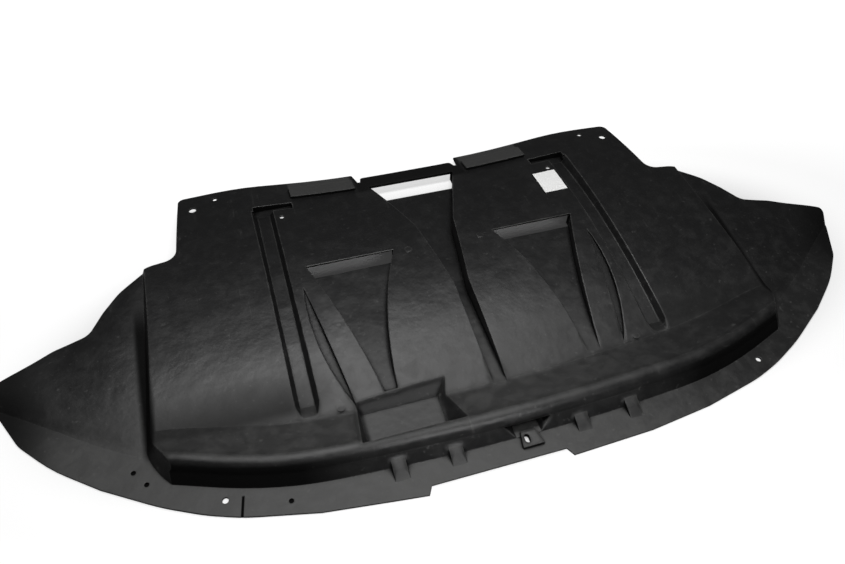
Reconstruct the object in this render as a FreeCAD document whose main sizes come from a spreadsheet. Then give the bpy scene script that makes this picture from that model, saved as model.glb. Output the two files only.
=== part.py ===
"""Engine splash shield: one moulded tray with a blank paper label, lying road side up.

The tray is made as the difference of two cores. The outer core carries the top of the sheet, the
inner core the underside; every relief is cut into both, one wall apart, so the wall stays even.
Frame: millimetres, +X to the right, +Y to the rear edge, +Z up, underside of the front lip at zero.
"""
import FreeCAD, Part
import os
import Sketcher

doc = FreeCAD.newDocument("splash_shield")
sheet = doc.addObject("Spreadsheet::Sheet", "sizes")

SIZES = [
    # sheet
    ("wall", 3.0), ("wall_shift", 2.5), ("depth_below", 40.0), ("above_all", 120.0), ("beyond", 60.0),
    # plan outline, right half; the left half mirrors it
    ("rear_half", 439.0), ("rear_y", 45.0), ("rear_in_x", 107.0), ("rear_in_y", 54.0),
    ("bar_half", 93.0), ("bar_y", 37.0), ("notch_a_x", 97.0), ("notch_b_x", 102.0), ("notch_y", 20.0),
    ("waist_x", 452.0), ("waist_y", -120.0), ("arch_x", 500.0), ("arch_y", -127.0),
    ("arch_mid_x", 550.0), ("arch_mid_y", -161.0), ("arch_low_x", 577.0), ("arch_low_y", -193.0),
    ("arch_end_x", 600.0), ("arch_end_y", -230.0),
    ("wing_x", 655.0), ("wing_y", -243.0), ("tip_in_x", 707.0), ("tip_in_y", -269.0),
    ("tip_x", 748.0), ("tip_y", -290.0), ("tip_low_x", 741.0), ("tip_low_y", -322.0),
    ("tip_foot_x", 706.0), ("tip_foot_y", -389.0),
    ("bow_a_x", 660.0), ("bow_a_y", -440.0), ("bow_b_x", 594.0), ("bow_b_y", -491.0),
    ("bow_c_x", 516.0), ("bow_c_y", -540.0), ("bow_d_x", 459.0), ("bow_d_y", -568.0),
    ("bow_e_x", 410.0), ("bow_e_y", -586.0), ("bow_f_x", 306.0), ("bow_f_y", -609.0),
    ("bow_g_x", 200.0), ("bow_g_y", -622.0), ("nose_y", -627.0),
    ("cut_left", -156.0), ("cut_right", 67.0), ("cut_y", -614.0), ("cut_run", 7.0),
    # raised body: plan with drafted sides
    ("body_half", 531.0), ("body_rear", 100.0), ("body_front", -600.0), ("body_draft", 28.0),
    ("body_side_y", -454.0), ("turn_mid_in", 23.0), ("turn_mid_y", -502.0), ("turn_end_in", 69.0),
    ("turn_end_y", -540.0), ("turn_out_in", 105.0),
    # raised body: stations across it, with foot, crest and valley lines and heights
    ("crown_y", -200.0), ("end_y", 60.0), ("brow_deep", 15.0), ("brow_drop", 17.0), ("brow_mid", 8.0),
    ("brow_mid_drop", 4.6), ("brow_back", 7.0),
    ("st_a", 110.0), ("st_b", 240.0), ("st_c", 320.0), ("st_d", 430.0), ("st_e", 488.0), ("st_f", 545.0),
    ("foot_0", -581.0), ("crest_0", -551.0), ("valley_0", -488.0), ("top_0", 38.0), ("dip_0", 22.0),
    ("crown_0", 52.0), ("end_0", 7.0),
    ("foot_a", -580.0), ("crest_a", -549.0), ("valley_a", -486.0), ("top_a", 38.0), ("dip_a", 22.0),
    ("crown_a", 53.0), ("end_a", 8.0),
    ("foot_b", -573.0), ("crest_b", -543.0), ("valley_b", -476.0), ("top_b", 38.0), ("dip_b", 21.0),
    ("crown_b", 54.0), ("end_b", 20.0),
    ("foot_c", -565.0), ("crest_c", -536.0), ("valley_c", -468.0), ("top_c", 38.0), ("dip_c", 21.0),
    ("crown_c", 53.0), ("end_c", 30.0),
    ("foot_d", -538.0), ("crest_d", -508.0), ("valley_d", -447.0), ("top_d", 37.0), ("dip_d", 22.0),
    ("crown_d", 50.0), ("end_d", 30.0),
    ("foot_e", -517.0), ("crest_e", -487.0), ("valley_e", -434.0), ("top_e", 36.5), ("dip_e", 23.0),
    ("crown_e", 49.0), ("end_e", 30.0),
    ("foot_f", -498.0), ("crest_f", -467.0), ("valley_f", -432.0), ("top_f", 26.0), ("dip_f", 23.5),
    ("crown_f", 47.0), ("end_f", 30.0),
    # grooves with drafted sides, one each side
    ("groove_x", 293.0), ("groove_floor_half", 11.0), ("groove_side", 7.0), ("groove_deep", 11.0),
    ("groove_over", 15.0), ("groove_over_side", 9.5),
    # air scoops and duct
    ("scoop_in", 91.0), ("scoop_out", 244.0), ("scoop_rear", -203.0), ("scoop_floor_rear", 31.0),
    ("scoop_tip_x", 166.0), ("scoop_tip_half", 10.5), ("scoop_tip_l", -460.0), ("scoop_tip_r", -489.0),
    ("scoop_floor_tip", 20.5), ("scoop_bow_y", -310.0), ("scoop_bow_in", 131.0), ("scoop_bow_out", 211.0),
    ("scoop_open", 9.0), ("scoop_window", 19.5),
    ("duct_tip", -490.0), ("duct_tip_half", 11.5), ("duct_kink", -300.0), ("duct_kink_half", 13.0),
    ("duct_mid", -150.0), ("duct_mid_half", 36.0),
    ("duct_rear", -2.0), ("duct_half", 86.0), ("duct_floor_tip", 22.0), ("duct_floor_rear", 4.0),
    ("duct_open", 28.0), ("duct_window", 14.0),
    # long lens-shaped dips beside the scoops
    ("lens_rear_x", 257.0), ("lens_rear", -246.0), ("lens_front_x", 222.0), ("lens_front", -474.0),
    ("lens_mid_x", 249.0), ("lens_mid", -350.0), ("lens_half", 8.5), ("lens_z_front", 18.0), ("lens_z_rear", 53.5),
    # stepped pan behind the front crest, left of the middle
    ("pan_left", -231.0), ("pan_right", -71.0), ("pan_rear", -458.0), ("pan_foot", -482.0),
    ("pan_front", -541.0), ("pan_floor", 11.0), ("pan_lip", 30.0), ("pan_under", 20.0), ("pan_over", 60.0),
    ("pan_reach", 220.0),
    ("pan_right_under", 50.0), ("pan_right_over", 36.0), ("pan_left_under", 19.0), ("pan_left_over", 13.0),
    # wings and lip
    ("lip_far", 700.0), ("lip_half", 520.0), ("lip_back", -470.0), ("wing_far", 40.0), ("wing_far_rise", 4.0),
    ("wing_a", 500.0), ("fold_a", -474.0), ("wing_a_y", -140.0), ("wing_a_z", 42.0),
    ("bulge_a_y", -330.0), ("bulge_a_z", 22.0),
    ("wing_b", 600.0), ("fold_b", -418.0), ("wing_b_y", -232.0), ("wing_b_z", 27.0),
    ("bulge_b_y", -330.0), ("bulge_b_z", 20.0),
    ("wing_c", 700.0), ("fold_c", -346.0), ("wing_c_y", -269.0), ("wing_c_z", 21.0),
    ("bulge_c_y", -312.0), ("bulge_c_z", 14.0),
    ("wing_d", 770.0), ("fold_d", -300.0), ("wing_d_y", -280.0), ("wing_d_z", 32.0),
    ("bulge_d_y", -291.0), ("bulge_d_z", 19.0),
    # rear edge: blind slots and pads
    ("slot_in", 238.0), ("slot_out", 309.0), ("slot_y", -28.0), ("slot_wide", 12.0), ("slot_floor", 29.0),
    ("pad_in", 113.0), ("pad_out", 236.0), ("pad_front", -9.0), ("pad_rear", 25.0), ("pad_high", 6.0),
    # fixings
    ("mount_x", 415.0), ("mount_y", 3.0), ("mount_d", 13.0), ("small_x", 373.0), ("small_y", 24.0),
    ("small_d", 8.0), ("panel_x", 262.0), ("panel_y", -64.0),
    ("lip_x", 430.0), ("lip_y", -555.0), ("lip_d", 9.0),
    ("vent_a_x", -549.0), ("vent_a_y", -478.0), ("vent_b_x", -532.0), ("vent_b_y", -501.0),
    ("vent_c_x", -343.0), ("vent_c_y", -581.0), ("vent_d", 7.0), ("vent_deep", 2.2),
    ("tab_out", 186.0), ("tab_in", 100.0), ("tab_front", -596.0), ("tab_crest", -580.0), ("tab_rear", -566.0),
    ("tab_half", 10.5), ("tab_high", 10.0),
    ("boss_x", 14.0), ("boss_y", -585.0), ("boss_half", 17.0), ("boss_deep", 13.0), ("boss_high", 8.0),
    ("boss_hole_x", 8.0), ("boss_slot", 4.0), ("boss_slot_half", 7.0), ("niche_half", 38.0), ("niche_low", 20.0),
    ("niche_rear", -556.0), ("niche_deep", 60.0), ("niche_floor", 4.0), ("niche_high", 22.0),
    ("seam_x", 413.0), ("seam_in_x", 405.0), ("seam_wide", 1.8), ("seam_out_y", -600.0), ("seam_in_y", -558.0),
    ("seam_deep", 1.3),
    # round marks on the panel
    ("disc_d", 12.0), ("disc_x", 246.0), ("disc_y", -468.0), ("disc_z", 23.5), ("disc_in_x", 66.0),
    ("disc_in_y", -209.0), ("disc_in_z", 53.4), ("disc_thick", 2.5),
    # paper label
    ("label_x", 225.0), ("label_y", -136.0), ("label_wide", 45.0), ("label_long", 62.0),
    ("label_thick", 0.4), ("label_gap", 0.1),
    # shift that brings the middle of the plan to the origin
    ("origin_y", 286.5),
]
for row, (alias, value) in enumerate(SIZES, 1):
    sheet.set("A%d" % row, alias)
    sheet.set("B%d" % row, str(value))
    sheet.setAlias("B%d" % row, alias)
doc.recompute()
VALUE = dict(SIZES)


def named(word):
    """Turns a short sum of size names into an expression on the sheet."""
    out = []
    for piece in str(word).split():
        sign = ""
        if piece[0] == "-" and len(piece) > 1:
            sign, piece = "-", piece[1:]
        out.append(sign + ("sizes." + piece if piece in VALUE else piece))
    return " ".join(out)


def size_of(word):
    """The value of a sum of size names, for the first position of a corner."""
    total, sign = 0.0, 1.0
    for piece in str(word).split():
        if piece in "+-":
            sign = -1.0 if piece == "-" else 1.0
            continue
        minus = -1.0 if piece[0] == "-" else 1.0
        piece = piece.lstrip("-")
        total += sign * minus * (VALUE[piece] if piece in VALUE else float(piece))
        sign = 1.0
    return total


def minus(word):
    """The same sum of size names with every sign turned."""
    flip = {"+": "-", "-": "+"}
    parts = [flip.get(piece, piece) for piece in word.split()]
    parts[0] = parts[0][1:] if parts[0].startswith("-") else "-" + parts[0]
    return " ".join(parts)


def mirrored(points):
    """The same corners on the other side of the middle, with any arc points."""
    return [tuple(minus(word) if k % 2 == 0 else word for k, word in enumerate(p)) for p in points]


TURNS = {
    "XY": FreeCAD.Rotation(),
    "YZ": FreeCAD.Rotation(FreeCAD.Vector(1, 1, 1), 120),
    "XZ": FreeCAD.Rotation(FreeCAD.Vector(1, 0, 0), 90),
}
ALONG = {"XY": "z", "YZ": "x", "XZ": "y"}


def sketch(name, points, plane="XY", offset="0"):
    """A closed outline tied to the sheet. A corner with two more values starts an arc through them."""
    sk = doc.addObject("Sketcher::SketchObject", name)
    sk.Placement = FreeCAD.Placement(FreeCAD.Vector(), TURNS[plane])
    sk.setExpression("Placement.Base." + ALONG[plane], named(offset))
    n = len(points)
    spots = [FreeCAD.Vector(size_of(p[0]), size_of(p[1]), 0) for p in points]
    starts = []
    for i, p in enumerate(points):
        a, b = spots[i], spots[(i + 1) % n]
        if len(p) > 2:
            middle = FreeCAD.Vector(size_of(p[2]), size_of(p[3]), 0)
            sk.addGeometry(Part.Arc(a, middle, b), False)
            starts.append(1 if sk.getPoint(i, 1).distanceToPoint(a) < 1e-4 else 2)
        else:
            sk.addGeometry(Part.LineSegment(a, b), False)
            starts.append(1)

    def tie(geo, end, words):
        for kind, word in zip(("DistanceX", "DistanceY"), words):
            c = sk.addConstraint(Sketcher.Constraint(kind, -1, 1, geo, end, size_of(word)))
            if any(piece.lstrip("-") in VALUE for piece in str(word).split()):
                sk.setExpression("Constraints[%d]" % c, named(word))

    for i in range(n):
        j = (i + 1) % n
        sk.addConstraint(Sketcher.Constraint("Coincident", i, 3 - starts[i], j, starts[j]))
    for i, p in enumerate(points):
        tie(i, starts[i], p[:2])
    for i, p in enumerate(points):
        if len(p) > 2:
            dot = sk.addGeometry(Part.Point(FreeCAD.Vector(size_of(p[2]), size_of(p[3]), 0)), True)
            tie(dot, 1, p[2:4])
            sk.addConstraint(Sketcher.Constraint("PointOnObject", dot, 1, i))
    return sk


def prism(name, points, low, high, plane="XY", taper=None):
    """An outline drawn out between two values along the plane's normal, with a draft if one is named."""
    ex = doc.addObject("Part::Extrusion", name)
    ex.Base = sketch(name + "_plan", points, plane, low)
    ex.DirMode = "Normal"
    ex.Solid = True
    ex.setExpression("LengthFwd", named(high) + " - (" + named(low) + ")")
    if taper:
        ex.setExpression("TaperAngle", "-" + named(taper))
    return ex


def loft(name, sections, raise_by="0", back="0", straight=False):
    """A block through section sketches, which may be set up or down, and back."""
    lo = doc.addObject("Part::Loft", name)
    lo.Sections = sections
    lo.Solid = True
    lo.Ruled = straight
    if raise_by != "0":
        lo.setExpression("Placement.Base.z", named(raise_by))
    if back != "0":
        lo.setExpression("Placement.Base.y", named(back))
    return lo


def cut(name, base, tool):
    ob = doc.addObject("Part::Cut", name)
    ob.Base, ob.Tool = base, tool
    return ob


def fuse(name, *parts):
    ob = doc.addObject("Part::MultiFuse", name)
    ob.Shapes = list(parts)
    return ob


def common(name, *parts):
    ob = doc.addObject("Part::MultiCommon", name)
    ob.Shapes = list(parts)
    return ob


def post(name, x, y, d, low, high):
    """An upright cylinder between two heights."""
    cy = doc.addObject("Part::Cylinder", name)
    cy.setExpression("Radius", named(d) + " / 2")
    cy.setExpression("Height", named(high) + " - (" + named(low) + ")")
    for axis, word in (("x", x), ("y", y), ("z", low)):
        cy.setExpression("Placement.Base." + axis, named(word))
    return cy


# Raised body: a smooth block through one section at each station, front foot to rear edge


def body_section(name, x, k):
    pts = [("foot_" + k, "-depth_below"), ("foot_" + k, "0"),
           ("crest_%s - brow_deep" % k, "top_%s - brow_drop" % k,
            "crest_%s - brow_mid" % k, "top_%s - brow_mid_drop" % k),
           ("crest_%s + brow_back" % k, "top_" + k),
           ("valley_" + k, "dip_" + k, "crown_y", "crown_" + k),
           ("end_y", "end_" + k), ("end_y", "-depth_below")]
    return sketch(name, pts, "YZ", x)


sections = [body_section("body_left_" + k, "-st_" + k, k) for k in "fedcba"]
sections.append(body_section("body_middle", "0", "0"))
sections += [body_section("body_right_" + k, "st_" + k, k) for k in "abcdef"]


def body_plan(inset):
    """Plan of the raised body with its front corners turned, set in by a wall for the inner core."""
    turn = ("body_half - turn_mid_in" + inset, "turn_mid_y")
    last = ("body_half - turn_end_in" + inset, "turn_end_y")
    right = [("body_half" + inset, "body_rear"), ("body_half" + inset, "body_side_y") + turn, last,
             ("body_half - turn_out_in" + inset, "body_front")]
    left = [(minus(right[3][0]), "body_front"), (minus(last[0]), last[1], minus(turn[0]), turn[1]),
            (minus(right[1][0]), "body_side_y"), (minus(right[0][0]), "body_rear")]
    return right + left


plan_out = prism("body_plan_out", body_plan(""), "0", "above_all - wall", taper="body_draft")
plan_in = prism("body_plan_in", body_plan(" - wall"), "-wall", "above_all", taper="body_draft")
body_out = common("body_outer", loft("body_loft_out", sections), plan_out)
body_in = common("body_inner", loft("body_loft_in", sections, "-wall", "wall_shift"), plan_in)

# Reliefs cut into both cores
reliefs, reliefs_in, windows = [], [], []

# grooves: drafted troughs whose floor keeps its depth under the panel, with a ramp up at the front
GROOVE = [("-470", "21.5", "0"), ("-447", "25.5", "groove_deep"), ("-400", "35", "groove_deep"),
          ("-340", "44.5", "groove_deep"), ("-270", "51", "groove_deep"), ("-200", "53.5", "groove_deep"),
          ("-130", "51", "groove_deep"), ("-80", "47", "groove_deep"), ("-34", "41.5", "groove_deep")]
for side, word in ((1, "r"), (-1, "l")):
    for grow in (False, True):
        g = " + wall" if grow else ""
        rows = []
        for k, (y, z, deep) in enumerate(GROOVE):
            low = "%s - %s%s" % (z, deep, " - wall" if grow else "")
            pts = [("groove_x - groove_floor_half" + (" - wall" if grow else ""), low),
                   ("groove_x + groove_floor_half" + g, low),
                   ("groove_x + groove_floor_half + groove_side + groove_over_side" + g, z + " + groove_over"),
                   ("groove_x - groove_floor_half - groove_side - groove_over_side" + (" - wall" if grow else ""),
                    z + " + groove_over")]
            if side < 0:
                pts = [(minus(a), b) for a, b in pts]
            place = y + (" - wall" if grow and k == 0 else " + wall" if grow and k == len(GROOVE) - 1 else "")
            rows.append(sketch("groove_%s%d%s" % (word, k, "_in" if grow else ""), pts, "XZ", place))
        (reliefs_in if grow else reliefs).append(
            loft("groove_%s%s" % (word, "_in" if grow else ""), rows, straight=True))


def wedge(name, plan, front, z_front, rear, z_rear, grow):
    """The space above a flat ramp, kept inside a plan outline."""
    d = " - wall" if grow else ""
    side = prism(name + "_side", [(front, z_front + d), (rear, z_rear + d), (rear, "above_all"),
                                  (front, "above_all")], "-st_f", "st_f", "YZ")
    return common(name, side, prism(name + "_edge", plan, "-beyond", "above_all + wall"))


# air scoops: a flat ramp from a narrow tip down to a window under the panel's edge
for side, word in ((-1, "l"), (1, "r")):
    for grow in (False, True):
        less, more = (" - wall", " + wall") if grow else ("", "")
        tip = "scoop_tip_" + word + less
        pts = [("scoop_in" + less, "scoop_rear" + more, "scoop_bow_in" + less, "scoop_bow_y"),
               ("scoop_tip_x - scoop_tip_half" + less, tip),
               ("scoop_tip_x + scoop_tip_half" + more, tip, "scoop_bow_out" + more, "scoop_bow_y"),
               ("scoop_out" + more, "scoop_rear" + more)]
        if side < 0:
            pts = mirrored(pts)
        w = wedge("scoop_%s%s" % (word, "_in" if grow else ""), pts, "-560", "scoop_floor_tip", "-180",
                  "scoop_floor_rear + 1", grow)
        (reliefs_in if grow else reliefs).append(w)
    a, b = "scoop_in + 2", "scoop_out - 2"
    if side < 0:
        a, b = minus(b), minus(a)
    windows.append(prism("scoop_window_" + word, [(a, "scoop_rear - scoop_open"), (b, "scoop_rear - scoop_open"),
                                                  (b, "scoop_rear + 12"), (a, "scoop_rear + 12")],
                         "scoop_floor_rear - 6", "scoop_floor_rear + scoop_window"))
# middle duct: a long slit that spreads to a wide window under the rear bar
for grow in (False, True):
    less, more = (" - wall", " + wall") if grow else ("", "")
    right = [("duct_half" + more, "duct_rear" + more), ("duct_mid_half" + more, "duct_mid"),
             ("duct_kink_half" + more, "duct_kink"), ("duct_tip_half" + more, "duct_tip" + less)]
    pts = right + [(minus(a), b) for a, b in reversed(right)]
    w = wedge("duct" + ("_in" if grow else ""), pts, "duct_tip - 20", "duct_floor_tip", "duct_rear + 20",
              "duct_floor_rear", grow)
    (reliefs_in if grow else reliefs).append(w)
windows.append(prism("duct_window_cut", [("-duct_half + 3", "duct_rear - duct_open"), ("duct_half - 3", "duct_rear - duct_open"),
                                         ("duct_half - 3", "duct_rear + 10"), ("-duct_half + 3", "duct_rear + 10")],
                     "-wall", "duct_floor_rear + duct_window"))
# lens-shaped dips beside the scoops
for side, word in ((-1, "l"), (1, "r")):
    for grow in (False, True):
        less, more = (" - wall", " + wall") if grow else ("", "")
        pts = [("lens_rear_x", "lens_rear" + more, "lens_mid_x - lens_half" + less, "lens_mid"),
               ("lens_front_x", "lens_front" + less, "lens_mid_x + lens_half" + more, "lens_mid")]
        if side < 0:
            pts = mirrored(pts)
        w = wedge("lens_%s%s" % (word, "_in" if grow else ""), pts, "-490", "lens_z_front", "-235", "lens_z_rear", grow)
        (reliefs_in if grow else reliefs).append(w)
# stepped pan behind the crest, niche behind the boss, and blind slots under the rear edge
for grow in (False, True):
    less, more = (" - wall", " + wall") if grow else ("", "")
    tag = "_in" if grow else ""
    store = reliefs_in if grow else reliefs
    long = prism("pan_long" + tag, [("pan_rear" + more, "pan_lip"), ("pan_foot", "pan_floor" + less),
                                    ("pan_front" + less, "pan_floor" + less), ("pan_front" + less, "above_all"),
                                    ("pan_rear" + more, "above_all")], "-st_c", "0", "YZ")
    ends = prism("pan_ends" + tag, [("pan_left + pan_left_under" + less, "pan_floor - pan_under"),
                                    ("pan_right - pan_right_under" + more, "pan_floor - pan_under"),
                                    ("pan_right + pan_right_over" + more, "pan_floor + pan_over"),
                                    ("pan_left - pan_left_over" + less, "pan_floor + pan_over")],
                 "pan_rear + beyond", "pan_rear + beyond + pan_reach", "XZ")
    store.append(common("pan" + tag, long, ends))
    store.append(prism("niche" + tag, [("boss_x - niche_low" + less, "niche_floor" + less),
                                       ("boss_x + niche_low" + more, "niche_floor" + less),
                                       ("boss_x + niche_half" + more, "niche_high" + more),
                                       ("boss_x - niche_half" + less, "niche_high" + more)],
                       "niche_rear" + more, "niche_rear + niche_deep" + more, "XZ"))
    for side, word in ((-1, "l"), (1, "r")):
        a, b = "slot_in" + less, "slot_out" + more
        if side < 0:
            a, b = minus(b), minus(a)
        store.append(prism("rear_slot_%s%s" % (word, tag), [(a, "slot_y - slot_wide" + less), (b, "slot_y - slot_wide" + less),
                                                            (b, "slot_y + 6" + more), (a, "slot_y + 6" + more)],
                           "slot_floor" + less, "above_all"))
shaped_out = cut("shaped_outer", body_out, fuse("reliefs_out", *reliefs))
shaped_in = cut("shaped_inner", body_in, fuse("reliefs_inside", *reliefs_in))

# pads on the rear edge: the body's own top, set higher inside a block
pads = []
for side, word in ((-1, "l"), (1, "r")):
    a, b = ("pad_in", "pad_out") if side > 0 else ("-pad_out", "-pad_in")
    pads.append(prism("pad_" + word, [(a, "pad_front"), (b, "pad_front"), (b, "pad_rear"), (a, "pad_rear")], "0", "above_all"))
raised = common("rear_pads", loft("body_loft_high", sections, "pad_high"), fuse("pad_blocks", *pads))

# wings and lip: flat at the front edge, rising to the wheel arch, with an upturned tip


def wing_section(name, x, k):
    pts = [("-lip_far", "-depth_below"), ("-lip_far", "wall"), ("fold_" + k, "wall", "bulge_%s_y" % k, "bulge_%s_z" % k),
           ("wing_%s_y" % k, "wing_%s_z" % k),
           ("wing_far", "wing_%s_z + wing_far_rise" % k), ("wing_far", "-depth_below")]
    return sketch(name, pts, "YZ", x)


wings_out, wings_in = [], []
for side, word in ((-1, "l"), (1, "r")):
    rows = [wing_section("wing_%s_%s" % (word, k), ("-" if side < 0 else "") + "wing_" + k, k) for k in "abcd"]
    wings_out.append(loft("wing_%s_out" % word, rows))
    wings_in.append(loft("wing_%s_in" % word, rows, "-wall"))
lip_plan = [("-lip_half", "-lip_far"), ("lip_half", "-lip_far"), ("lip_half", "lip_back"), ("-lip_half", "lip_back")]
lip_out = prism("lip_out", lip_plan, "-depth_below", "wall")
lip_in = prism("lip_in", lip_plan, "-depth_below - 5", "0")

outer = fuse("outer_core", shaped_out, raised, lip_out, *wings_out)
inner = fuse("inner_core", shaped_in, lip_in, *wings_in)
sheet_raw = cut("sheet_raw", outer, inner)

# plan outline of the whole tray, with rounded corners
HALF = [("bar", 7), ("notch_a", 1.5), ("notch_b", 1.5), ("rear_in", 3), ("rear_half", 13), ("waist", 24), ("arch", 40), ("arch_mid", 80), ("arch_low", 80),
        ("arch_end", 26), ("wing", 60), ("tip_in", 60), ("tip", 13), ("tip_low", 40), ("tip_foot", 60), ("bow_a", 300),
        ("bow_b", 400), ("bow_c", 400), ("bow_d", 300), ("bow_e", 300), ("bow_f", 400), ("bow_g", 400)]
SPOT = {"bar": ("bar_half", "bar_y"), "rear_half": ("rear_half", "rear_y"),
        "notch_a": ("notch_a_x", "notch_y"), "notch_b": ("notch_b_x", "notch_y")}
right = [SPOT.get(k, (k + "_x", k + "_y")) for k, r in HALF]
left = [("-" + a, b) for a, b in reversed(right)]
edge = right + [("cut_right", "nose_y"), ("cut_right - cut_run", "cut_y"), ("cut_left + cut_run", "cut_y"),
                ("cut_left", "nose_y")] + left
outline = prism("outline", edge, "-10", "above_all")
doc.recompute()
rounds = []
for number, line in enumerate(outline.Shape.Edges, 1):
    a, b = line.Vertexes[0].Point, line.Vertexes[-1].Point
    if abs(a.x - b.x) + abs(a.y - b.y) > 1e-4:
        continue
    for (x, y), (word, radius) in zip(right, HALF):
        if abs(abs(a.x) - size_of(x)) < 1e-3 and abs(a.y - size_of(y)) < 1e-3:
            rounds.append((number, float(radius), float(radius)))
rounded = doc.addObject("Part::Fillet", "outline_rounded")
rounded.Base = outline
rounded.Edges = rounds
tray = common("tray_sheet", sheet_raw, rounded)

# ramp tabs and boss on the lip, and round marks on the panel
extras = []
for k, x in enumerate(("-tab_out", "-tab_in", "tab_in", "tab_out")):
    extras.append(prism("tab_%d" % k, [("tab_front", "0"), ("tab_rear", "0"), ("tab_rear", "tab_high + 4"),
                                       ("tab_crest", "tab_high"), ("tab_front", "wall")],
                        x + " - tab_half", x + " + tab_half", "YZ"))
extras.append(prism("boss", [("boss_x - boss_half", "boss_y - boss_deep"), ("boss_x + boss_half", "boss_y - boss_deep"),
                             ("boss_x + boss_half - 5", "boss_y + boss_deep"),
                             ("boss_x - boss_half + 5", "boss_y + boss_deep")], "0", "boss_high"))
for word, sign in (("l", "-"), ("r", "")):
    extras.append(post("disc_" + word, sign + "disc_x", "disc_y", "disc_d", "disc_z - disc_thick", "disc_z"))
    extras.append(post("disc_in_" + word, sign + "disc_in_x", "disc_in_y", "disc_d", "disc_in_z - disc_thick", "disc_in_z"))
joined = fuse("tray_with_tabs", tray, *extras)

# fixing holes
tools = list(windows)
for word, sign in (("l", "-"), ("r", "")):
    tools.append(post("mount_hole_" + word, sign + "mount_x", "mount_y", "mount_d", "-wall", "above_all"))
    tools.append(post("small_hole_" + word, sign + "small_x", "small_y", "small_d", "-wall", "above_all"))
    tools.append(post("panel_hole_" + word, sign + "panel_x", "panel_y", "small_d", "-wall", "above_all"))
    tools.append(post("lip_hole_" + word, sign + "lip_x", "lip_y", "lip_d", "-wall", "above_all"))
for k in "abc":
    tools.append(post("lip_vent_" + k, "vent_%s_x" % k, "vent_%s_y" % k, "vent_d", "wall - vent_deep", "above_all"))
tools.append(prism("boss_slot_cut", [("boss_hole_x + boss_slot", "boss_y + boss_slot_half - boss_slot", "boss_hole_x",
                                      "boss_y + boss_slot_half"),
                                     ("boss_hole_x - boss_slot", "boss_y + boss_slot_half - boss_slot"),
                                     ("boss_hole_x - boss_slot", "boss_y - boss_slot_half + boss_slot", "boss_hole_x",
                                      "boss_y - boss_slot_half"),
                                     ("boss_hole_x + boss_slot", "boss_y - boss_slot_half + boss_slot")],
                   "-wall", "above_all"))
# fine seam across the lip where its strip begins
tools.append(prism("lip_seam", [("-seam_x - seam_wide", "seam_out_y"), ("-seam_x", "seam_out_y"),
                                ("-seam_in_x", "seam_in_y"), ("-seam_in_x - seam_wide", "seam_in_y")],
                   "wall - seam_deep", "above_all"))
shield = cut("shield", joined, fuse("openings", *tools))

# blank paper label laid on the panel
lab_plan = prism("label_plan", [("label_x", "label_y"), ("label_x + label_wide", "label_y"),
                                ("label_x + label_wide", "label_y + label_long"), ("label_x", "label_y + label_long")],
                 "0", "above_all")
paper = common("paper_label", cut("label_skin", loft("label_top", sections, "label_gap + label_thick"),
                                  loft("label_under", sections, "label_gap")), lab_plan)

for node in (shield, paper):
    node.setExpression("Placement.Base.y", named("origin_y"))

doc.recompute()
bad = [ob.Name for ob in doc.Objects if any(s in ("Invalid", "Error") for s in ob.State)]
for ob in (shield, paper):
    if ob.Shape.isNull() or not ob.Shape.isValid() or not ob.Shape.Solids:
        bad.append(ob.Name + " shape")
    else:
        print(ob.Name, "solids", len(ob.Shape.Solids), "volume", round(ob.Shape.Volume), "box", ob.Shape.BoundBox)
if bad:
    raise RuntimeError("not sound: " + ", ".join(bad))
os.makedirs("parts", exist_ok=True)
shield.Shape.exportStep("parts/shield.step")
paper.Shape.exportStep("parts/paper_label.step")
print("written")
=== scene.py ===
"""Engine splash shield: finishes, stage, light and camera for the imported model."""

import bpy
from mathutils import Matrix, Vector

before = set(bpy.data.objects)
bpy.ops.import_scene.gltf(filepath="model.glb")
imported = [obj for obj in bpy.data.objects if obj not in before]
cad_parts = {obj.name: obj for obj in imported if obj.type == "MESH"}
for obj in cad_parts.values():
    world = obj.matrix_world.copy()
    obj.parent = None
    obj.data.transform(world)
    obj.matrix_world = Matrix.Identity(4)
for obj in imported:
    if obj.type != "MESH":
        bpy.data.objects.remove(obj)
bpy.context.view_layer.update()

bl_info = {
    "name": "Engine splash shield",
    "version": (1, 0, 0),
    "blender": (4, 5, 0),
    "location": "3D View > Sidebar > Splash shield",
    "description": "Finishes the moulded shield and its paper label, and sets the stage",
    "category": "Object",
}

WHITE = (1.0, 1.0, 1.0, 1.0)

# Places on the shield in metres, as the start and the end of a ramp: x to the right, y to the rear, z up
LIP_TOP = (0.0033, 0.006)
LIP_SUNK = (0.0024, 0.0028)
FRONT_HALF = (-0.16, -0.02)
RIGHT_HALF = (0.0, 0.45)
HANDLED_Y = (0.15, -0.1)
PAD_FRONT = (0.276, 0.279)
PAD_INNER = (0.112, 0.115)
PAD_OUTER = (0.237, 0.234)
FOLD_X = 0.521
FOLD_WIDTH = (0.004, 0.016)
FOLD_REAR = (0.03, 0.12)
FOLD_FRONT = (-0.19, -0.16)
FOOT_Y = (-0.1, -0.165)
FOOT_INNER = (0.25, 0.32)
FOOT_OUTER = (0.535, 0.51)
WING_TIP = (0.63, 0.72)
BROW_SIDE = (0.2, 0.32)
SEAM_LEAN = -0.19
SEAM_X = -0.3544
SEAM_WIDTH = (0.0014, 0.0024)
SEAM_REAR = (-0.27, -0.268)
BAR_HALF = (0.106, 0.116)
BAR_FRONT = (0.262, 0.272)
PAN_X = -0.151
PAN_HALF = (0.082, 0.09)
PAN_FRONT = (-0.21, -0.2)
PAN_REAR = (-0.17, -0.16)
RIDGE_REAR = (-0.15, -0.19)
RIDGE_FOOT = (0.006, 0.01)
RIDGE_ROUND = 0.012

# Slopes, as the start and the end of a ramp on one part of the face's direction
LEVEL_FACE = (0.84, 0.975)
STEEP_FACE = (0.8, 0.9)
FORWARD_FACE = (-0.45, -0.75)

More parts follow.
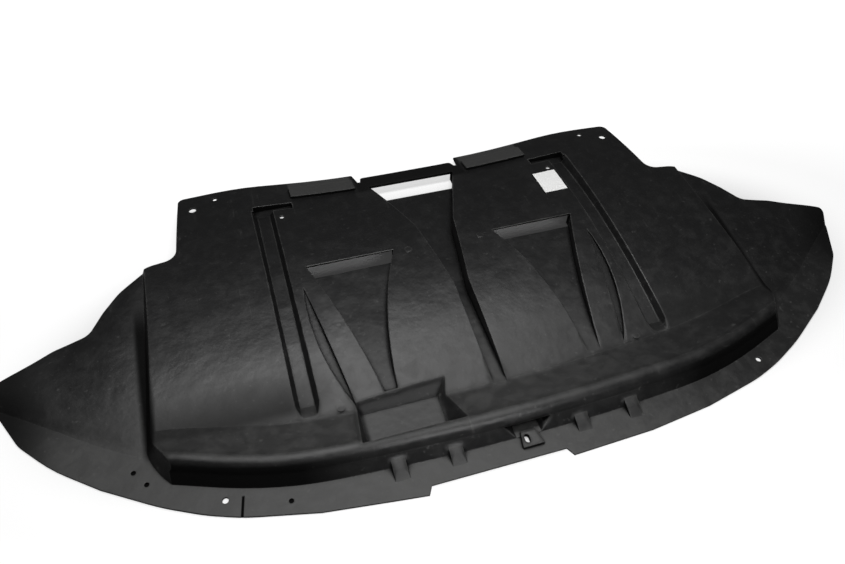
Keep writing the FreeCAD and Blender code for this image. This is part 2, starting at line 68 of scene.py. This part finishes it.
# Fine texture of the plastic
MOTTLE_SCALE = 38.0
SCRATCH_STRETCH = (140.0, 9.0, 9.0)
SCRATCH_TURN = (0.0, 0.0, 0.35)
SCRATCH_LEVEL = (0.62, 0.78)
HANDLED_LEVEL = (0.05, 0.16)
FLECK_SCALE = 120.0
FLECK_LEVEL = (0.66, 0.76)
FLECK_WEIGHT = 3.0
# Bend of the normal that marks an edge for wear and for a painted highlight
EDGE_BEND = (0.998, 0.95)
# Reach and level of the painted shade in creases
CREASE_REACH = 0.014
CREASE_LEVEL = (0.5, 0.85)
WAVE_SCALE = 13.0
WAVE_HEIGHT = 0.005
GRAIN_HEIGHT = 0.0003
PLASTIC_IOR = 1.49
# Sheen outside and inside the painted shade
SHEEN_UNSHADED, SHEEN_IN_PAINTED_SHADE = 0.5, 0.1

# Paper of the label
FIBRE_SCALE = 1800.0
PAPER_MOTTLE_SCALE = 60.0
PAPER_SHADE = 0.94
FIBRE_HEIGHT = 0.0001
PAPER_ROUGHNESS = 0.7

# Stage, in metres
FLOOR_DROP = 0.0005
# Oval, shift and ramps of the floor's glow, lowered near and under the shield as a painted shadow
FLOOR_OVAL = (0.7, 1.6, 0.0)
FLOOR_SHIFT = (-0.014, 0.048, 0.0)
FLOOR_NEAR, FLOOR_NEAR_GLOW = (0.31, 0.56), (0.04, 0.7)
FLOOR_FAR, FLOOR_FAR_GLOW = (0.6, 1.2), (0.0, 0.36)
KEY_SPOT, KEY_AIM, KEY_SIZE = (-0.12, 0.16, 1.8), (-0.1, -0.1, 0.0), (1.5, 0.55)
FRONT_SPOT, FRONT_AIM, FRONT_SIZE = (0.05, -0.95, 0.8), (0.0, -0.3, 0.0), (0.5, 0.35)
FRONT_SPREAD = 1.2
CAMERA_SPOT = (-0.3195, -0.7459, 0.9599)
CAMERA_AHEAD = (0.2124, 0.6201, -0.7552)
CAMERA_RIGHT = (0.9555, -0.2936, 0.0278)
SENSOR_WIDTH = 36.0


class ShieldFinish(bpy.types.PropertyGroup):
    """The look of the moulded plastic."""
    plastic: bpy.props.FloatVectorProperty(
        name="Plastic", description="Colour of the moulded plastic", subtype="COLOR", size=3,
        default=(0.006, 0.006, 0.0062), min=0.0, max=1.0)
    # Also the colour of the painted highlight along the edges
    scuffed_and_highlight: bpy.props.FloatVectorProperty(
        name="Scuffed plastic", description="Colour where handling has rubbed the plastic",
        subtype="COLOR", size=3, default=(0.085, 0.085, 0.083), min=0.0, max=1.0)
    # Also painted light: laid more on the level front faces and the left half, where the light falls
    dust_and_light: bpy.props.FloatVectorProperty(
        name="Road dust", description="Colour of the dry film on the lip and low faces",
        subtype="COLOR", size=3, default=(0.068, 0.068, 0.0665), min=0.0, max=1.0)
    # Painted shade: the colour laid in creases, recesses and other shaded places
    painted_shade: bpy.props.FloatVectorProperty(
        name="Painted shade", description="Colour of the dirt in creases and sunk places",
        subtype="COLOR", size=3, default=(0.0025, 0.0025, 0.0025), min=0.0, max=1.0)
    roughness: bpy.props.FloatProperty(
        name="Roughness", description="Roughness of the clean moulded face",
        default=0.38, min=0.0, max=1.0)
    grain: bpy.props.FloatProperty(
        name="Grain size", description="Spacing of the moulded grain",
        default=0.0016, min=0.0002, unit="LENGTH")
    edge_round: bpy.props.FloatProperty(
        name="Edge rounding", description="Radius of the moulded edges",
        default=0.003, min=0.0, unit="LENGTH")


class LabelFinish(bpy.types.PropertyGroup):
    """The look of the blank paper label."""
    paper: bpy.props.FloatVectorProperty(
        name="Paper", description="Colour of the label paper", subtype="COLOR", size=3,
        default=(0.97, 0.97, 0.96), min=0.0, max=1.0)


class StageSettings(bpy.types.PropertyGroup):
    """Floor, lamps and camera."""
    floor: bpy.props.FloatVectorProperty(
        name="Floor", description="Colour of the floor", subtype="COLOR", size=3,
        default=(0.45, 0.45, 0.45), min=0.0, max=1.0)
    floor_size: bpy.props.FloatProperty(
        name="Floor size", description="Side of the floor", default=24.0, min=1.0, unit="LENGTH")
    key_lamp: bpy.props.FloatProperty(
        name="Key lamp", description="Power of the large soft lamp overhead",
        default=25.0, min=0.0, unit="POWER")
    front_lamp: bpy.props.FloatProperty(
        name="Front lamp", description="Power of the small soft lamp before the lip",
        default=0.75, min=0.0, unit="POWER")
    fill: bpy.props.FloatProperty(
        name="Fill", description="Level of the even light from all round", default=0.065, min=0.0)
    lens: bpy.props.FloatProperty(
        name="Focal length", description="Lens of the camera, in millimetres", default=30.69, min=1.0)


class NodeKit:
    """Adds nodes to one tree and joins them."""

    def __init__(self, tree):
        self.tree = tree

    def add(self, kind, inputs=None, **settings):
        """A new node with its settings made and its sockets set or linked."""
        node = self.tree.nodes.new(kind)
        for key, value in settings.items():
            setattr(node, key, value)
        for key, value in (inputs or {}).items():
            socket = node.inputs[key]
            if isinstance(value, bpy.types.NodeSocket):
                self.tree.links.new(value, socket)
            else:
                socket.default_value = value
        return node

    def ramp(self, value, span, low=0.0, high=1.0, soft=False):
        """Goes from low to high while the value crosses the span."""
        kind = "SMOOTHSTEP" if soft else "LINEAR"
        node = self.add("ShaderNodeMapRange", {
            "Value": value, "From Min": span[0], "From Max": span[1], "To Min": low, "To Max": high},
            interpolation_type=kind)
        return node.outputs["Result"]

    def math(self, operation, *values, clamp=False):
        """One step of arithmetic."""
        node = self.add("ShaderNodeMath", dict(enumerate(values)), operation=operation, use_clamp=clamp)
        return node.outputs[0]

    def chain(self, operation, first, *rest):
        """The same step of arithmetic along a row of masks."""
        for mask in rest:
            first = self.math(operation, first, mask)
        return first

    def both(self, *masks):
        """Where all masks meet."""
        return self.chain("MULTIPLY", *masks)

    def either(self, *masks):
        """Where any mask lies."""
        return self.chain("MAXIMUM", *masks)

    def band(self, value, middle, width, level=1.0, soft=False):
        """A stripe around a middle value, fading over the width."""
        away = self.math("ABSOLUTE", self.math("SUBTRACT", value, middle))
        return self.ramp(away, width, level, 0.0, soft)

    def blend(self, mask, under, over):
        """Lays one colour over another by a mask."""
        node = self.add("ShaderNodeMix", {"Factor": mask, 6: under, 7: over}, data_type="RGBA")
        return node.outputs[2]

    def split(self, vector):
        """The x, y and z of a vector."""
        node = self.add("ShaderNodeSeparateXYZ", {"Vector": vector})
        return [node.outputs[name] for name in "XYZ"]

    def finish(self, shader):
        """Sends a shader to the material's surface."""
        self.add("ShaderNodeOutputMaterial", {"Surface": shader})


def blank_material(name):
    mat = bpy.data.materials.new(name)
    mat.use_nodes = True
    mat.node_tree.nodes.clear()
    return mat, NodeKit(mat.node_tree)


def surface_group():
    """Shared surface effect: fine grain height and a soft handling mask, from object coordinates."""
    group = bpy.data.node_groups.get("moulded_surface")
    if group:
        return group
    group = bpy.data.node_groups.new("moulded_surface", "ShaderNodeTree")
    face = group.interface
    defaults = {"Grain Scale": 600.0, "Mottle Scale": 14.0, "Mottle Low": 0.45, "Mottle High": 0.75}
    for name, default in defaults.items():
        socket = face.new_socket(name, in_out="INPUT", socket_type="NodeSocketFloat")
        socket.default_value = default
    for name in ("Height", "Mottle"):
        face.new_socket(name, in_out="OUTPUT", socket_type="NodeSocketFloat")
    kit = NodeKit(group)
    given = kit.add("NodeGroupInput").outputs
    place = kit.add("ShaderNodeTexCoord").outputs["Object"]
    grain = kit.add("ShaderNodeTexNoise", {
        "Vector": place, "Scale": given["Grain Scale"], "Detail": 3.0, "Roughness": 0.6})
    mottle = kit.add("ShaderNodeTexNoise", {
        "Vector": place, "Scale": given["Mottle Scale"], "Detail": 6.0, "Roughness": 0.68,
        "Distortion": 0.4})
    spread = kit.ramp(mottle.outputs["Fac"], (given["Mottle Low"], given["Mottle High"]))
    kit.add("NodeGroupOutput", {"Height": grain.outputs["Fac"], "Mottle": spread})
    return group


def add_surface(kit, grain_scale, mottle_scale):
    """The shared surface effect at the given scales: its height and its mask."""
    node = kit.add("ShaderNodeGroup", node_tree=surface_group())
    node.inputs["Grain Scale"].default_value = grain_scale
    node.inputs["Mottle Scale"].default_value = mottle_scale
    return node.outputs["Height"], node.outputs["Mottle"]


def wear_and_edge_highlight_mask(kit, place, y, mottle, edge, normal):
    """Fine scratches, rubbed patches and flecks, more of them at the front, and lighter edges that are
    partly wear and partly a painted highlight.
    """
    stretched = kit.add("ShaderNodeMapping", {
        "Vector": place, "Scale": SCRATCH_STRETCH, "Rotation": SCRATCH_TURN})
    streak = kit.add("ShaderNodeTexNoise", {
        "Vector": stretched.outputs["Vector"], "Scale": 1.0, "Detail": 5.0, "Roughness": 0.7})
    scratches = kit.both(kit.ramp(streak.outputs["Fac"], SCRATCH_LEVEL), mottle)
    handled = kit.ramp(y, HANDLED_Y, *HANDLED_LEVEL)
    specks = kit.add("ShaderNodeTexNoise", {
        "Vector": place, "Scale": FLECK_SCALE, "Detail": 2.0, "Roughness": 0.5})
    flecks = kit.both(kit.ramp(specks.outputs["Fac"], FLECK_LEVEL, 0.0, FLECK_WEIGHT), handled)
    rubbed = kit.math("ADD", kit.both(mottle, handled), flecks)
    # Lighter edges: partly wear, partly a painted highlight
    bend = kit.add("ShaderNodeVectorMath", {0: edge, 1: normal}, operation="DOT_PRODUCT")
    brim_wear_and_highlight = kit.both(kit.ramp(bend.outputs["Value"], EDGE_BEND), kit.ramp(mottle, (0.0, 1.0), 0.35))
    return kit.math("ADD", kit.math("ADD", scratches, rubbed, clamp=True), brim_wear_and_highlight, clamp=True)


def dust_and_painted_light_mask(kit, spot, facing, mottle, side):
    """Dusty coat mixed with painted light: lighter on the level faces of the front, less to the right, and
    lighter on the rear pads.
    """
    x, y, z = spot
    # Painted light mixed with a dusty coat: lighter on level front faces and on the left, where the light
    # falls
    front = kit.both(
        kit.ramp(z, LIP_TOP, 1.0, 0.54, soft=True), kit.ramp(y, FRONT_HALF, 1.0, 0.0, soft=True),
        kit.ramp(x, RIGHT_HALF, 1.0, 0.2, soft=True), kit.ramp(facing[2], LEVEL_FACE, soft=True),
        kit.ramp(mottle, (0.0, 1.0), 0.55))
    # Lighter on the rear pads
    pads = kit.both(kit.ramp(y, PAD_FRONT, 0.0, 0.5), kit.ramp(side, PAD_INNER), kit.ramp(side, PAD_OUTER))
    return kit.either(front, pads)


def painted_shade_mask(kit, spot, facing, side):
    """Painted shade in creases, on the lowest faces, along the wing fold, on the wing tips, at the ridge
    foot, on forward faces, along the step in the lip and on the pan walls; darker on the rear bar.
    """
    x, y, z = spot
    # Painted shade in creases, from occlusion
    hollow = kit.add("ShaderNodeAmbientOcclusion", {"Distance": CREASE_REACH}, samples=8)
    creases = kit.ramp(hollow.outputs["AO"], CREASE_LEVEL, 1.0, 0.0, soft=True)
    # Painted shade on the lowest faces, below the top of the lip
    sunk = kit.ramp(z, LIP_SUNK, 1.0, 0.0)
    behind_lip = kit.ramp(y, FOLD_FRONT, soft=True)
    # Painted shade along the fold between wing and body, behind the lip
    fold = kit.both(kit.band(side, FOLD_X, FOLD_WIDTH, soft=True),
                    kit.ramp(y, FOLD_REAR, 1.0, 0.0, soft=True), behind_lip)
    # Painted shade at the foot of the front ridge on the outer panels
    foot = kit.both(kit.ramp(y, FOOT_Y, 0.0, 0.5), behind_lip,
                    kit.ramp(side, FOOT_INNER), kit.ramp(side, FOOT_OUTER))
    # Painted shade on the wing tips
    tips = kit.ramp(side, WING_TIP, 0.0, 0.8, soft=True)
    # Painted shade on the forward faces away from the middle, under the brow
    brow = kit.both(kit.ramp(facing[1], FORWARD_FACE), kit.ramp(side, BROW_SIDE))
    # Painted shade along the slanted step in the lip
    leaning = kit.math("MULTIPLY_ADD", y, SEAM_LEAN, x)
    seam = kit.both(kit.band(leaning, SEAM_X, SEAM_WIDTH), kit.ramp(y, SEAM_REAR, 1.0, 0.0))
    # Darker on the rear bar
    bar = kit.both(kit.ramp(side, BAR_HALF, 0.85, 0.0), kit.ramp(y, BAR_FRONT))
    # Painted shade on the steep walls of the pan
    pan = kit.both(kit.band(x, PAN_X, PAN_HALF, 0.3), kit.ramp(facing[2], STEEP_FACE, 1.0, 0.0),
                   kit.ramp(y, PAN_FRONT), kit.ramp(y, PAN_REAR, 1.0, 0.0))
    return kit.either(fold, sunk, tips, foot, creases, brow, seam, bar, pan)


def moulded_normal(kit, look, place, spot, height):
    """Rounded edges, softer along the front ridge, with shallow waves and grain."""
    ridge = kit.both(kit.ramp(spot[1], RIDGE_REAR), kit.ramp(spot[2], RIDGE_FOOT))
    width = kit.ramp(ridge, (0.0, 1.0), look.edge_round, RIDGE_ROUND)
    rounded = kit.add("ShaderNodeBevel", {"Radius": width}, samples=8)
    waves = kit.add("ShaderNodeTexNoise", {
        "Vector": place, "Scale": WAVE_SCALE, "Detail": 4.0, "Roughness": 0.55})
    dents = kit.add("ShaderNodeBump", {
        "Height": waves.outputs["Fac"], "Strength": 0.5, "Distance": WAVE_HEIGHT,
        "Normal": rounded.outputs["Normal"]})
    grain = kit.add("ShaderNodeBump", {
        "Height": height, "Strength": 0.16, "Distance": GRAIN_HEIGHT, "Normal": dents.outputs["Normal"]})
    return grain.outputs["Normal"]


def plastic_material(look):
    """Black moulded plastic with grain, wear with a painted edge highlight, a dusty coat mixed with
    painted light on the low front, and painted shade.
    """
    mat, kit = blank_material("black_plastic")
    height, mottle = add_surface(kit, 1.0 / look.grain, MOTTLE_SCALE)
    place = kit.add("ShaderNodeTexCoord").outputs["Object"]
    normal = kit.add("ShaderNodeNewGeometry").outputs["Normal"]
    edge = kit.add("ShaderNodeBevel", {"Radius": look.edge_round}, samples=6).outputs["Normal"]
    spot, facing = kit.split(place), kit.split(normal)
    side = kit.math("ABSOLUTE", spot[0])

    dust_and_light_amount = dust_and_painted_light_mask(kit, spot, facing, mottle, side)
    painted_shade = painted_shade_mask(kit, spot, facing, side)
    wear_and_highlight = wear_and_edge_highlight_mask(kit, place, spot[1], mottle, edge, normal)
    # Lighter where rubbed and along edges, partly a painted highlight
    colour = kit.blend(wear_and_highlight, (*look.plastic, 1.0), (*look.scuffed_and_highlight, 1.0))
    # Dusty coat mixed with painted light
    colour = kit.blend(dust_and_light_amount, colour, (*look.dust_and_light, 1.0))
    # Painted shade laid into the colour
    colour = kit.blend(painted_shade, colour, (*look.painted_shade, 1.0))
    rough = kit.math("MULTIPLY_ADD", dust_and_light_amount, 0.3, look.roughness)
    rough = kit.math("MULTIPLY_ADD", painted_shade, 0.4, rough)
    rough = kit.math("MULTIPLY_ADD", mottle, 0.07, rough, clamp=True)
    shader = kit.add("ShaderNodeBsdfPrincipled", {
        "Base Color": colour, "Roughness": rough, "IOR": PLASTIC_IOR,
        # Less sheen under the painted shade
        "Specular IOR Level": kit.ramp(painted_shade, (0.0, 1.0), SHEEN_UNSHADED, SHEEN_IN_PAINTED_SHADE),
        "Normal": moulded_normal(kit, look, place, spot, height)})
    kit.finish(shader.outputs["BSDF"])
    return mat


def paper_material(look):
    """Plain matt label paper with a little fibre."""
    mat, kit = blank_material("label_paper")
    height, mottle = add_surface(kit, FIBRE_SCALE, PAPER_MOTTLE_SCALE)
    shade = tuple(PAPER_SHADE * part for part in look.paper)
    fibre = kit.add("ShaderNodeBump", {"Height": height, "Strength": 0.1, "Distance": FIBRE_HEIGHT})
    shader = kit.add("ShaderNodeBsdfPrincipled", {
        "Base Color": kit.blend(mottle, (*look.paper, 1.0), (*shade, 1.0)),
        "Roughness": PAPER_ROUGHNESS, "Normal": fibre.outputs["Normal"]})
    kit.finish(shader.outputs["BSDF"])
    return mat


def floor_material(look):
    """Pale floor that reads as white to the camera and keeps the shield's shadow; its glow is lowered near
    and under the shield, a painted shadow.
    """
    mat, kit = blank_material("stage_floor")
    matt = kit.add("ShaderNodeBsdfDiffuse", {"Color": (*look.floor, 1.0)}).outputs[0]
    place = kit.add("ShaderNodeTexCoord").outputs["Object"]
    oval = kit.add("ShaderNodeVectorMath", {0: place, 1: FLOOR_OVAL, 2: FLOOR_SHIFT},
                   operation="MULTIPLY_ADD").outputs["Vector"]
    reach = kit.add("ShaderNodeVectorMath", {0: oval}, operation="LENGTH").outputs["Value"]
    # Glow lowered near and under the shield: a painted shadow on the floor
    level = kit.math("ADD", kit.ramp(reach, FLOOR_NEAR, *FLOOR_NEAR_GLOW, soft=True),
                     kit.ramp(reach, FLOOR_FAR, *FLOOR_FAR_GLOW))
    glow = kit.add("ShaderNodeEmission", {"Color": WHITE, "Strength": level}).outputs[0]
    seen = kit.add("ShaderNodeAddShader", {0: matt, 1: glow}).outputs[0]
    path = kit.add("ShaderNodeLightPath").outputs["Is Camera Ray"]
    kit.finish(kit.add("ShaderNodeMixShader", {"Fac": path, 1: matt, 2: seen}).outputs[0])
    return mat


def dress(node, mat):
    """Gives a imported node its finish."""
    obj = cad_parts[node]
    obj.data.materials.clear()
    obj.data.materials.append(mat)


class SHIELD_OT_moulding(bpy.types.Operator):
    """Finish the moulded shield."""
    bl_idname = "splash_shield.moulding"
    bl_label = "Moulded shield"

    def execute(self, context):
        dress("shield", plastic_material(context.scene.shield_finish))
        return {"FINISHED"}


class SHIELD_OT_label(bpy.types.Operator):
    """Finish the blank paper label."""
    bl_idname = "splash_shield.label"
    bl_label = "Paper label"

    def execute(self, context):
        dress("paper_label", paper_material(context.scene.label_finish))
        return {"FINISHED"}


def add_floor(scene, look):
    """A square floor just under the shield."""
    half = look.floor_size / 2.0
    corners = [(-half, -half, 0.0), (half, -half, 0.0), (half, half, 0.0), (-half, half, 0.0)]
    mesh = bpy.data.meshes.new("floor")
    mesh.from_pydata(corners, [], [(0, 1, 2, 3)])
    floor = bpy.data.objects.new("floor", mesh)
    floor.location.z = -FLOOR_DROP
    scene.collection.objects.link(floor)
    mesh.materials.append(floor_material(look))


def soft_lamp(scene, name, spot, aim, size, power):
    """A rectangular area lamp at spot, turned to aim."""
    data = bpy.data.lights.new(name, "AREA")
    data.shape = "RECTANGLE"
    data.size, data.size_y = size
    data.energy = power
    lamp = bpy.data.objects.new(name, data)
    scene.collection.objects.link(lamp)
    lamp.location = spot
    lamp.rotation_euler = (Vector(aim) - Vector(spot)).to_track_quat("-Z", "Y").to_euler()
    return data


def add_world(scene, look):
    """Even light from all round, which the camera sees as white."""
    world = bpy.data.worlds.new("studio")
    scene.world = world
    world.use_nodes = True
    world.node_tree.nodes.clear()
    kit = NodeKit(world.node_tree)
    path = kit.add("ShaderNodeLightPath").outputs["Is Camera Ray"]
    glow = kit.add("ShaderNodeBackground", {
        "Color": WHITE, "Strength": kit.ramp(path, (0.0, 1.0), look.fill)})
    kit.add("ShaderNodeOutputWorld", {"Surface": glow.outputs[0]})


def add_camera(scene, look):
    """The camera, standing before the lip and a little to the left."""
    data = bpy.data.cameras.new("photo_camera")
    data.sensor_fit = "HORIZONTAL"
    data.sensor_width = SENSOR_WIDTH
    data.lens = look.lens
    camera = bpy.data.objects.new("photo_camera", data)
    scene.collection.objects.link(camera)
    ahead = Vector(CAMERA_AHEAD).normalized()
    right = Vector(CAMERA_RIGHT)
    right = (right - ahead * right.dot(ahead)).normalized()
    turn = Matrix((right, right.cross(ahead), -ahead)).transposed()
    camera.matrix_world = Matrix.Translation(CAMERA_SPOT) @ turn.to_4x4()
    scene.camera = camera


class SHIELD_OT_stage(bpy.types.Operator):
    """Set the floor, the lamps and the camera."""
    bl_idname = "splash_shield.stage"
    bl_label = "Stage"

    def execute(self, context):
        scene = context.scene
        look = scene.shield_stage
        add_floor(scene, look)
        soft_lamp(scene, "key_lamp", KEY_SPOT, KEY_AIM, KEY_SIZE, look.key_lamp)
        front = soft_lamp(scene, "front_lamp", FRONT_SPOT, FRONT_AIM, FRONT_SIZE, look.front_lamp)
        front.spread = FRONT_SPREAD
        add_world(scene, look)
        add_camera(scene, look)
        scene.view_settings.view_transform = "Standard"
        return {"FINISHED"}


class SHIELD_PT_panel(bpy.types.Panel):
    """Lists the steps that finish the shield."""
    bl_label = "Splash shield"
    bl_idname = "SHIELD_PT_panel"
    bl_space_type = "VIEW_3D"
    bl_region_type = "UI"
    bl_category = "Splash shield"

    def draw(self, context):
        column = self.layout.column()
        for step in STEPS:
            column.operator(step.bl_idname)


STEPS = (SHIELD_OT_moulding, SHIELD_OT_label, SHIELD_OT_stage)
GROUPS = (("shield_finish", ShieldFinish), ("label_finish", LabelFinish), ("shield_stage", StageSettings))


def register():
    for name, group in GROUPS:
        bpy.utils.register_class(group)
        setattr(bpy.types.Scene, name, bpy.props.PointerProperty(type=group))
    for step in (*STEPS, SHIELD_PT_panel):
        bpy.utils.register_class(step)


def unregister():
    for step in reversed((*STEPS, SHIELD_PT_panel)):
        bpy.utils.unregister_class(step)
    for name, group in reversed(GROUPS):
        delattr(bpy.types.Scene, name)
        bpy.utils.unregister_class(group)


def main():
    register()
    bpy.ops.splash_shield.moulding()
    bpy.ops.splash_shield.label()
    bpy.ops.splash_shield.stage()


if __name__ == "__main__":
    main()
